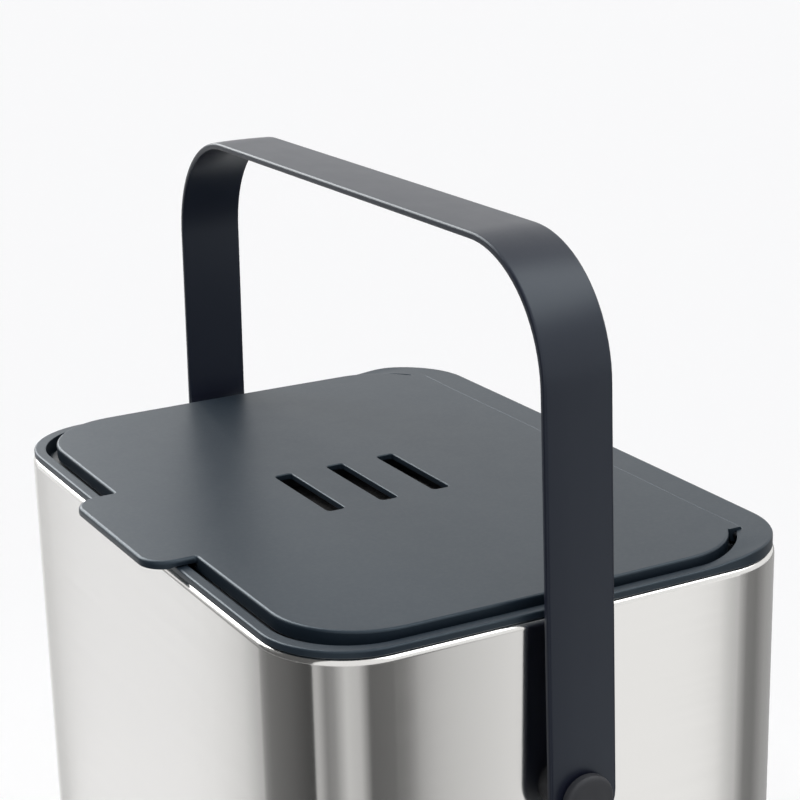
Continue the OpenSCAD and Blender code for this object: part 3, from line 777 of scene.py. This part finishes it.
def makeLid():
    keys = lidKeys()
    tabKeys = [key for key in keys if key[0] == "tab"]
    reach = lid["tabHalf"] + lid["tabRoot"] - lid["bevel"]
    spread = {key: reach * (2 * i / (len(tabKeys) - 1) - 1) for i, key in enumerate(tabKeys)}
    bottom, top = lid["edgeBottom"], lid["top"]

    def column(key):
        # every point of the lid's section at one place on its outline, from top to underside
        rear = rearShare(key)
        points = [(*lidPoint(key, inset), top - drop)
                  for inset, drop in roundOver(lidRound(key), lid["roundSteps"])]
        section = [(between(a, c, rear), bottom + between(b, d, rear))
                   for (a, b), (c, d) in zip(*lidSections)]
        if key[0] == "tab":
            points += tabPoints(key, spread[key])
            key = ("front", "side", spread[key])
        else:
            inset, z = section[0]
            points += [(*lidPoint(key, inset), z)] * 6
        return points + [(*lidPoint(key, inset), z) for inset, z in section]

    bm = bmesh.new()
    rows = loft(bm, [[place(*point) for point in ring] for ring in zip(*map(column, keys))])
    vents = []
    for middle in lid["vents"]:
        rings = [ventRing(middle, inset, top - drop)
                 for inset, drop in roundOver(lid["ventRound"], 5)]
        grow, rise = lid["ventBevel"]
        rings += [ventRing(middle, 0, lid["under"] + rise), ventRing(middle, grow, lid["under"])]
        vents.append(loft(bm, rings))
    fillFlat(bm, rows[0], *[vent[0] for vent in vents])
    fillFlat(bm, rows[-1], *[vent[-1] for vent in vents])
    finishPiece(meshObject(bm, "ventedLid"), slatePlastic, "lid_assembly",
                ["lid"])


def turnedPiece(facts, steps=40, side=0, at=(0, 0, 0)):
    # Turned from a radius, a start and an end; the edges are (radius lost, distance) pairs.
    # It stands up, or lies along X on the given side.
    r, start, end = facts["radius"], facts["start"], facts["end"]
    profile = [(r - inset, start + along) for inset, along in facts["firstEdge"]]
    profile += [(r - inset, end - along) for inset, along in facts["lastEdge"]]
    rings = []
    for radius, height in profile:
        ring = []
        for i in range(steps):
            a = 2 * math.pi * i / steps
            across, deep = radius * math.cos(a), radius * math.sin(a)
            p = (side * height, across, deep) if side else (across, deep, height)
            ring.append((Vector(p) + Vector(at)) * mm)
        rings.append(ring)
    bm = bmesh.new()
    loft(bm, rings, capped=True)
    return bm


lidPost = {"acrossHalf": 31.65, "deepHalf": 25.8, "radius": 3.0, "start": 0, "end": 5.0,
           "firstEdge": ((1.85, 0), (0.4, 0), (0.1, 0.12), (0, 0.4)),
           "lastEdge": ((0, 0.6), (-0.2, 0.2), (-0.6, 0))}


def makeFour(facts, steps, name, middle, material, body, replaced):
    obj = meshObject(turnedPiece(facts, steps), name)
    runTree(obj, fourCorners, {
        "Spacing Across": 2 * facts["acrossHalf"] * mm,
        "Spacing Deep": 2 * facts["deepHalf"] * mm, "Middle": middle, "Material": material})
    finishPiece(obj, material, body, replaced)


def makeLidPosts():
    middle = place(0, lid["vents"][1], lid["under"] - lidPost["end"])
    makeFour(lidPost, 40, "lidPosts", middle, slatePlastic, "lid_assembly",
             ["lid"])


# the barrel's ends, as (distance from the end, scale) pairs
barrelEdge = ((0.12, 0.995), (0.03, 0.985), (0, 0.96))


def makeBarrelEnds():
    # the hinge barrel reaches past the lid's rounded corners to the pocket's walls
    r, end, front, rear = (lid[k] for k in ("barrel", "barrelHalf", "barrelFront", "rearRound"))
    section = list(arcProfile(r, 180, 360, 12))
    section += [(y + front - r, z + r - front) for y, z in arcProfile(front, 0, 90, 6)]
    section += [(y + r - rear, z + r - rear) for y, z in arcProfile(rear, 90, 180, 6)]
    places = [(lid["barrelStart"], barrelEdge[0][1])]
    places += [(end - back, size) for back, size in barrelEdge]
    bm = bmesh.new()
    for side in (-1, 1):
        rings = [[place(side * x, lid["hingeY"] + y * size, lid["hingeZ"] + z * size)
                  for y, z in section] for x, size in places]
        loft(bm, rings, capped=True)
    finishPiece(meshObject(bm, "lidBarrelEnds"), slatePlastic, "lid_assembly",
                ["lid"])


makeLid()
makeBarrelEnds()
makeLidPosts()

# Carrying strap

strap = {"width": 23.5, "thick": 2.6, "crown": 0.3, "outerRound": 0.9, "innerRound": 0.7,
         "halfTop": 88.486, "bendRadius": 41.0, "lean": 1.5, "leg": 127.12, "top": 297.0,
         "pivotY": -2.5, "hole": 3.05, "step": 3.0, "stepStart": 6, "turnSteps": 16,
         "topInsets": (6.5, 4.5, 3.0, 1.8, 1.1), "lowInsets": (1.4, 5.0)}


def makeStrap():
    # made flat, with a hole in each round end; the tree then bends it
    half, thick = strap["width"] / 2, strap["thick"]
    hole, turnSteps = strap["hole"], strap["turnSteps"]
    radius = strap["bendRadius"] - thick / 2
    bendAngle = math.radians(90 - strap["lean"])
    pivotX = strap["halfTop"] + radius * bendAngle + strap["leg"]
    count, farX = int(2 * pivotX / strap["step"]), pivotX - strap["stepStart"]
    sideX = [between(farX, -farX, i / count) for i in range(count + 1)]
    sideX = [pivotX] + sideX + [-pivotX]
    sides = len(sideX)
    turn = [math.radians(90 + 180 * i / turnSteps) for i in range(1, turnSteps)]

    def ring(inset, height):
        r = half - inset
        points = [(x, r) for x in sideX]
        points += [(r * math.cos(a) - pivotX, r * math.sin(a)) for a in turn]
        points += [(-x, -y) for x, y in points]
        return [Vector((x, y, height)) * mm for x, y in points]

    def crownAt(inset):
        return thick / 2 - strap["crown"] * ((half - inset) / half) ** 2

    middle = half - hole
    upper, lower = strap["outerRound"], strap["innerRound"]
    rings = [ring(inset, crownAt(inset)) for inset in (middle, *strap["topInsets"])]
    for dx, dz in arcProfile(upper, 90, 0, 5):
        rings.append(ring(upper + dx, crownAt(upper) - upper + dz))
    for dx, dz in arcProfile(lower, 0, -90, 4):
        rings.append(ring(lower + dx, -thick / 2 + lower + dz))
    rings += [ring(inset, -thick / 2) for inset in (*strap["lowInsets"], middle)]
    bm = bmesh.new()
    rows = loft(bm, rings)
    # the faces between the long sides, and the half circle of each hole next to them
    chains = []
    for row in (rows[0], rows[-1]):
        left, right = row[:sides], row[sides + turnSteps - 1:2 * sides + turnSteps - 1][::-1]
        for i in range(1, sides - 2):
            bm.faces.new((left[i], left[i + 1], right[i + 1], right[i]))
        for end, sign, inner in ((0, 1, 1), (sides - 1, -1, sides - 2)):
            arc = [bm.verts.new((sign * (pivotX + hole * math.cos(a)) * mm,
                                 hole * math.sin(a) * mm, row[0].co.z)) for a in turn]
            bm.faces.new([left[end], *arc, right[end], right[inner], left[inner]])
            chains.append([left[end], *arc, right[end]])
    # the holes' walls: the half circles on the inside, then those on the round ends
    for chainA, chainB in zip(chains[:2], chains[2:]):
        for i in range(len(chainA) - 1):
            bm.faces.new((chainA[i], chainA[i + 1], chainB[i + 1], chainB[i]))
    top, low = rows[0], rows[-1]
    for start in (sides - 1, 2 * sides + turnSteps - 2):
        for i in range(start, start + turnSteps):
            j, k = i % len(top), (i + 1) % len(top)
            bm.faces.new((top[j], top[k], low[k], low[j]))
    obj = meshObject(bm, "carryStrap")
    runTree(obj, strapBend, {
        "Half Top": strap["halfTop"] * mm, "Bend Radius": radius * mm,
        "Bend Angle": bendAngle, "Top Height": (strap["top"] - thick / 2) * mm,
        "Material": strapPlastic})
    obj.data.transform(Matrix.Translation(place(0, strap["pivotY"], 0)))
    finishPiece(obj, strapPlastic, "strap", ["handle_strap"])


makeStrap()

# Pivots

pivot = {"z": 130.0, "steps": 64}
pivotPieces = {
    "cap": {"radius": 8.5, "start": 133.3, "end": 136.7,
            "firstEdge": ((2.4, 0), (0.2, 0), (0, 0.2)),
            "lastEdge": ((0, 1.5), (0.15, 1.05), (0.5, 0.65), (1.2, 0.3), (2.6, 0.08), (4.5, 0),
                         (7.5, 0))},
    "spacer": {"radius": 7.5, "start": 124.0, "end": 129.7, "firstEdge": ((4.4, 0), (0, 0)),
               "lastEdge": ((0, 0.5), (0.15, 0.15), (0.5, 0), (4.4, 0))},
}


def makePivotPieces():
    at = (0, sleeveMiddleY + strap["pivotY"], pivot["z"])
    for side, name in ((-1, "left"), (1, "right")):
        for kind, facts in pivotPieces.items():
            piece = turnedPiece(facts, pivot["steps"], side, at)
            obj = meshObject(piece, "pivot" + kind.capitalize() + name.capitalize())
            finishPiece(obj, darkPlastic, "caddy", [f"pivot_{kind}_{name}"])


makePivotPieces()

# Feet

foot = {"acrossHalf": 97.0, "deepHalf": 63.0, "radius": 7.0, "start": 0, "end": 4.0,
        "firstEdge": ((5.5, 0.5), (3.8, 0.12), (3.4, 0), (0.9, 0), (0.35, 0.15), (0.08, 0.5),
                      (0, 1.0)),
        "lastEdge": ((0, 0.2), (0.2, 0), (6.0, 0))}


def makeFeet():
    nodes = ["foot_front_left", "foot_front_right", "foot_rear_left", "foot_rear_right"]
    makeFour(foot, 48, "rubberFeet", place(0, 0, 0), footRubber, "caddy",
             nodes)


makeFeet()

# Filter pad

pad = {"half": (26.4, 28.9), "corner": 3.0, "leastCorner": 0.2, "bottom": 179.15,
       "top": 185.05, "middleY": -6.0, "edge": 1.6, "reach": 24, "rings": 30, "sideSteps": 24,
       "cells": ((0.35, 0.9), (0.15, 2.3)), "sideLoss": 12, "faceLoss": 3.2}


def makePad():
    (halfX, halfY), bottom, top, edge = (pad[k] for k in ("half", "bottom", "top", "edge"))
    middleZ, sideSteps, cornerSteps = (top + bottom) / 2, pad["sideSteps"], 6

    def roughened(x, y, z):
        # open cells, made by moving the point inwards
        p = Vector((x, y, z - middleZ))
        cell = sum(depth * abs(noise.noise(p * scale)) for depth, scale in pad["cells"])
        shrink = 1 - cell / pad["sideLoss"]
        rise = p.z * (1 - cell / pad["faceLoss"])
        return place(x * shrink, y * shrink + pad["middleY"], middleZ + rise)

    def ring(inset, z):
        corner = max(pad["corner"] - inset, pad["leastCorner"])
        turns = roundedPoints(halfX - inset, halfY - inset, corner, cornerSteps)
        points = []
        for i, (x0, y0) in enumerate(turns):
            x1, y1 = turns[(i + 1) % len(turns)]
            steps = sideSteps if i % (cornerSteps + 1) == cornerSteps else 1
            points += [(between(x0, x1, k / steps), between(y0, y1, k / steps))
                       for k in range(steps)]
        return [roughened(x, y, z) for x, y in points]

    shares = [i / pad["rings"] for i in range(pad["rings"] + 1)]
    inner = edge + pad["reach"]
    profile = [(between(inner, edge, share), bottom) for share in shares]
    for z, start in ((bottom + edge, -90), (top - edge, 0)):
        profile += [(edge + dx, z + dz) for dx, dz in arcProfile(edge, start, start + 90, 4)]
    profile += [(between(edge, inner, share), top) for share in shares]
    bm = bmesh.new()
    loft(bm, [ring(inset, z) for inset, z in profile], capped=True)
    obj = finishPiece(meshObject(bm, "foamPad"), charcoalFoam, "lid_assembly",
                      ["filter_pad"], sharp=180)


makePad()

# Solids that keep their own shape get their finish

finishes = {
    darkPlastic: ["base_pan", "filter_housing", "filter_cover"],
    pinSteel: ["hinge_pin_left", "hinge_pin_right"],
    platedSteel: ["base_screws", "housing_screws", "filter_cover_pin", "pivot_screw_left",
                  "pivot_screw_right", "pivot_nut_left", "pivot_nut_right"],
}
for material, names in finishes.items():
    for name in names:
        slots = cadNodes[name].data.materials
        slots.clear()
        slots.append(material)
print("finishes set on", sum(map(len, finishes.values())), "solids")

# Floor, light and camera

stageLook = {"floorSize": 14.0, "floorColour": 0.93, "floorBounce": 0.5, "floorGlow": 0.09,
             "floorRoughness": 0.9, "skySeen": 0.95, "skyLight": (0.36, 0.36, 0.3708),
             "lampDistance": 2}


def makeFloor():
    bm = bmesh.new()
    bmesh.ops.create_grid(bm, x_segments=8, y_segments=8, size=stageLook["floorSize"])
    floor = meshObject(bm, "floor")
    if floor.data.polygons[0].normal.z < 0:
        floor.data.flip_normals()
    material, tree, shader = newMaterial("paleFloor")
    seen = seenRay(tree)
    light, dark = stageLook["floorColour"], stageLook["floorBounce"]
    setInputs(tree, shader, {
        "Base Color": mixColour(tree, seen, rgb((dark,) * 3), rgb((light,) * 3)),
        "Roughness": stageLook["floorRoughness"], "Specular IOR Level": 0.0,
        "Emission Color": (1, 1, 1, 1),
        "Emission Strength": mathNode(tree, "MULTIPLY", seen, stageLook["floorGlow"])})
    floor.data.materials.append(material)


def seenRay(tree):
    rays = addNode(tree, "ShaderNodeLightPath").outputs
    either = mathNode(tree, "MAXIMUM", rays["Is Camera Ray"], rays["Is Glossy Ray"])
    return mathNode(tree, "MAXIMUM", either, rays["Is Transmission Ray"])


def makeSky():
    world = bpy.data.worlds.new("studio")
    scene.world = world
    world.use_nodes = True
    tree = world.node_tree
    light, seen = rgb(stageLook["skyLight"]), rgb((stageLook["skySeen"],) * 3)
    setInputs(tree, tree.nodes["Background"], {
        "Color": mixColour(tree, seenRay(tree), light, seen)})


lamps = {
    "overhead": {"azimuth": 60, "elevation": 72, "strength": 1.15, "spread": 60,
                 "inGloss": False},
    "keyLeft": {"azimuth": -62, "elevation": 38, "strength": 1.1, "spread": 24,
                "inGloss": True},
}


def makeLamps():
    for name, facts in lamps.items():
        data = bpy.data.lights.new(name, "SUN")
        data.energy = facts["strength"]
        data.angle = math.radians(facts["spread"])
        lamp = bpy.data.objects.new(name, data)
        toward = direction(facts["azimuth"], facts["elevation"])
        lamp.rotation_euler = toward.to_track_quat("Z", "Y").to_euler()
        lamp.location = toward * stageLook["lampDistance"]
        lamp.visible_glossy = facts["inGloss"]
        scene.collection.objects.link(lamp)


# Grey panels that show only in the glossy pieces, as in a product photographer's studio.
# Each run of the sleeve's outline has stops: how far along it they are seen, and their grey.
panels = {
    "leftPanel": [
        (3, "corner", (0.86, 0.95), (0.95, 0.8), (1.0, 0.64)),
        (3, "side", (0.02, 0.55), (0.05, 0.76), (0.1, 0.93))],
    "frontPanel": [
        (3, "side", (0.8, 0.94), (0.95, 0.86), (0.985, 0.62), (1.0, 0.4)),
        (0, "corner", (0.05, 0.25), (0.12, 0.18), (0.3, 0.13), (0.47, 0.06))],
    "nearPanel": [
        (0, "corner", (0.47, 0.55), (0.5, 0.5), (0.55, 0.24), (0.6, 0.3), (0.68, 0.64),
         (0.76, 0.56), (0.83, 0.13))],
    "sidePanel": [
        (0, "corner", (0.83, 0.13), (1.0, 0.16)),
        (0, "side", (0.03, 0.21), (0.065, 0.45), (0.1, 0.6), (0.3, 0.78), (0.45, 0.95),
         (0.55, 1.0), (0.93, 1.0))],
    "cornerPanel": [
        (0, "side", (0.93, 1.0)),
        (1, "corner", (0.0, 0.55), (0.08, 0.23), (0.17, 0.2), (0.3, 0.36), (0.5, 0.42),
         (0.75, 0.7))],
}
panelShape = {"rings": (0, 6, 15, 30, 60, 110, 200, 360, 650, 1200, 2000, 3200), "height": 0.6,
              "steps": 6}
# upright panels: a tall softbox draws the light lines along the front edges
uprights = {
    "keyPanel": {"azimuth": (-100, -58), "elevation": (16, 62), "strength": 6.0},
    "darkPanel": {"azimuth": (-54, 24), "elevation": (2, 70), "strength": 0.12},
    "rearPanel": {"azimuth": (112, 182), "elevation": (38, 76), "strength": 3.2},
}
uprightDistance = 3.0


def finerStops(runs):
    # puts even steps between the stops of each run
    steps = panelShape["steps"]
    for part, kind, *stops in runs:
        for (tA, greyA), (tB, greyB) in zip(stops, stops[1:]):
            for i in range(steps):
                yield (part, kind, between(tA, tB, i / steps)), between(greyA, greyB, i / steps)
        t, grey = stops[-1]
        yield (part, kind, t), grey


def outwardAngle(key):
    part, kind, t = key
    ends = [bodyPoint((part, kind, t + step), 0) for step in (-0.01, 0.01)]
    return math.atan2(ends[1][1] - ends[0][1], ends[1][0] - ends[0][0]) - math.pi / 2


def reflectedRay(key, eye):
    # where the camera's line goes on the floor after it is mirrored in the sleeve
    x, y = bodyPoint(key, 0)
    seenFrom = math.atan2(eye[1] - y, eye[0] - x)
    away = 2 * outwardAngle(key) - seenFrom
    return x, y, math.cos(away), math.sin(away)


def glowMaterial(name, strength, colourOf=lambda tree: (1, 1, 1, 1)):
    material, tree, shader = newMaterial(name)
    setInputs(tree, shader, {
        "Base Color": (0, 0, 0, 1), "Roughness": 1.0, "Specular IOR Level": 0.0,
        "Emission Color": colourOf(tree), "Emission Strength": strength})
    return material


def toneColour(tree):
    return addNode(tree, "ShaderNodeAttribute", attribute_name="tone").outputs["Color"]


def showOnlyInGloss(obj, material):
    obj.data.materials.append(material)
    for ray in ("camera", "diffuse", "transmission", "shadow"):
        setattr(obj, "visible_" + ray, False)


def makePanels():
    material = glowMaterial("greyPanel", 1.0, toneColour)
    eye = scene.camera.location / mm
    eye.y -= sleeveMiddleY
    for name, runs in panels.items():
        bm = bmesh.new()
        greyLayer = bm.verts.layers.float_color.new("tone")
        last = None
        for key, grey in finerStops(runs):
            x, y, dx, dy = reflectedRay(key, eye)
            row = [bm.verts.new(place(x + dx * reach, y + dy * reach, panelShape["height"]))
                   for reach in panelShape["rings"]]
            for vert in row:
                vert[greyLayer] = (grey, grey, grey, 1)
            if last:
                for i in range(len(row) - 1):
                    bm.faces.new((last[i], last[i + 1], row[i + 1], row[i]))
            last = row
        showOnlyInGloss(meshObject(bm, name), material)


def makeUprights():
    for name, facts in uprights.items():
        bm = bmesh.new()
        (left, right), (low, high) = facts["azimuth"], facts["elevation"]
        corners = [(left, low), (right, low), (right, high), (left, high)]
        bm.faces.new([bm.verts.new(direction(*corner) * uprightDistance) for corner in corners])
        showOnlyInGloss(meshObject(bm, name), glowMaterial(name + "Glow", facts["strength"]))


photoCamera = {"azimuth": 61.536, "elevation": 17.028, "roll": -1.353, "aimZ": 0.192,
               "distance": 0.715089, "across": -23.388, "down": 77.977, "focal": 2074.491,
               "picture": 800, "sensor": 36}


def makeCamera():
    facts = photoCamera
    roll = math.radians(facts["roll"])
    back = direction(facts["azimuth"], facts["elevation"])
    level = direction(facts["azimuth"] + 90, 0)
    rise = back.cross(level)
    right = level * math.cos(roll) + rise * math.sin(roll)
    up = rise * math.cos(roll) - level * math.sin(roll)
    step = facts["distance"] / facts["focal"]
    target = Vector((0, sleeveMiddleY * mm, facts["aimZ"]))
    data = bpy.data.cameras.new("photoCamera")
    data.sensor_width = facts["sensor"]
    data.lens = facts["sensor"] * facts["focal"] / facts["picture"]
    data.clip_start, data.clip_end = 0.01, 60
    camera = bpy.data.objects.new("photoCamera", data)
    camera.location = (target + back * facts["distance"] - right * facts["across"] * step
                       + up * facts["down"] * step)
    turn = Matrix((right, up, back)).transposed()
    camera.rotation_euler = turn.to_euler()
    scene.collection.objects.link(camera)
    scene.camera = camera


makeFloor()
makeSky()
makeLamps()
makeCamera()
makePanels()
makeUprights()
scene.view_settings.view_transform = "Standard"
print("stage ready")
